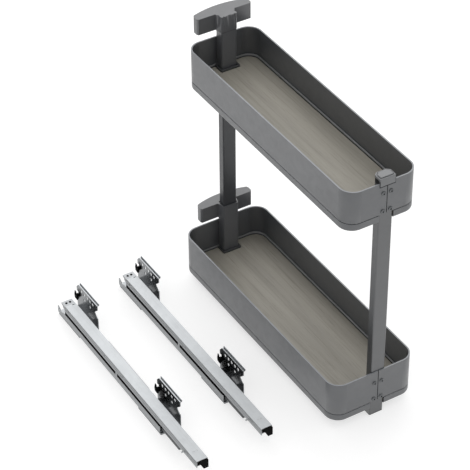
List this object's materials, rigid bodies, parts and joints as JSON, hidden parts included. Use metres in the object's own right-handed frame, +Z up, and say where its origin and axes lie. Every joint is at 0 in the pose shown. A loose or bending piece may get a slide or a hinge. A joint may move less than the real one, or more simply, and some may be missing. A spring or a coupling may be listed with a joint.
{
  "type": "pull-out bottle rack",
  "caption": "Pull-out bottle rack: two round-cornered trays with wooden bases on two posts, and a pair of separate slide runners with brackets beside it.",
  "frame": {"origin": "centre of the whole set's footprint, on the floor", "axes": "+Z up, +Y toward the rack's rear, +X to the right seen from the front"},
  "size_m": [0.4056, 0.5122, 0.524],
  "materials": {
    "tray_paint": "satin powder coat",
    "post_paint": "satin powder coat",
    "cap_plastic": "matt",
    "grey_plastic": "matt",
    "black_plastic": "satin",
    "lip_rubber": "satin",
    "board_wood": "grey-brown grain, matt",
    "zinc_steel": "galvanised",
    "plain_steel": "bright",
    "screw_steel": "satin"
  },
  "bodies": {
    "rack": {"upper_tray_band": "tray_paint", "upper_base_pan": "tray_paint", "upper_wood_base": "board_wood", "upper_lip_bead": "lip_rubber", "lower_tray_band": "tray_paint", "lower_base_pan": "tray_paint", "lower_wood_base": "board_wood", "lower_lip_bead": "lip_rubber", "front_post": "post_paint", "rear_post": "post_paint", "front_post_cap": "cap_plastic", "front_foot_plug": "black_plastic", "rear_foot_plug": "black_plastic", "nut_plates": "plain_steel", "upper_band_screws": "screw_steel", "lower_band_screws": "screw_steel", "upper_post_flange": "grey_plastic", "lower_post_flange": "grey_plastic", "top_rear_support": "grey_plastic", "low_rear_support": "grey_plastic", "support_screws": "plain_steel", "left_channel": "zinc_steel", "left_liners": "black_plastic", "left_front_bracket": "zinc_steel", "left_rear_bracket": "zinc_steel", "left_clips": "black_plastic", "left_rivets": "plain_steel", "left_damper_housing": "black_plastic", "right_channel": "zinc_steel", "right_liners": "black_plastic", "right_front_bracket": "zinc_steel", "right_rear_bracket": "zinc_steel", "right_clips": "black_plastic", "right_rivets": "plain_steel", "right_damper_housing": "black_plastic"},
    "left_middle": {"left_middle_rail": "plain_steel"},
    "left_cage": {"left_roller_cage": "black_plastic", "left_rollers": "plain_steel"},
    "left_drawer": {"left_top_rail": "zinc_steel", "left_rear_hook": "zinc_steel", "left_end_plug": "black_plastic", "left_latch_pin": "plain_steel"},
    "left_damper": {"left_damper_rod": "plain_steel", "left_damper_catch": "black_plastic"},
    "right_middle": {"right_middle_rail": "plain_steel"},
    "right_cage": {"right_roller_cage": "black_plastic", "right_rollers": "plain_steel"},
    "right_drawer": {"right_top_rail": "zinc_steel", "right_rear_hook": "zinc_steel", "right_end_plug": "black_plastic", "right_latch_pin": "plain_steel"},
    "right_damper": {"right_damper_rod": "plain_steel", "right_damper_catch": "black_plastic"}
  },
  "joints": [
    {"name": "left_drawer_slide", "type": "slide", "parent": "rack", "child": "left_drawer", "axis": [0, -1, 0], "range_m": [0, 0.3]},
    {"name": "left_middle_slide", "type": "slide", "parent": "rack", "child": "left_middle", "axis": [0, -1, 0], "range_m": [0, 0.15]},
    {"name": "left_cage_slide", "type": "slide", "parent": "rack", "child": "left_cage", "axis": [0, -1, 0], "range_m": [0, 0.225]},
    {"name": "left_damper_slide", "type": "slide", "parent": "rack", "child": "left_damper", "axis": [0, -1, 0], "range_m": [0, 0.045]},
    {"name": "right_drawer_slide", "type": "slide", "parent": "rack", "child": "right_drawer", "axis": [0, -1, 0], "range_m": [0, 0.3]},
    {"name": "right_middle_slide", "type": "slide", "parent": "rack", "child": "right_middle", "axis": [0, -1, 0], "range_m": [0, 0.15]},
    {"name": "right_cage_slide", "type": "slide", "parent": "rack", "child": "right_cage", "axis": [0, -1, 0], "range_m": [0, 0.225]},
    {"name": "right_damper_slide", "type": "slide", "parent": "rack", "child": "right_damper", "axis": [0, -1, 0], "range_m": [0, 0.045]}
  ],
  "couplings": [
    {"joint": "left_middle_slide", "follows": "left_drawer_slide", "ratio": 0.5},
    {"joint": "left_cage_slide", "follows": "left_drawer_slide", "ratio": 0.75},
    {"joint": "right_middle_slide", "follows": "right_drawer_slide", "ratio": 0.5},
    {"joint": "right_cage_slide", "follows": "right_drawer_slide", "ratio": 0.75}
  ]
}
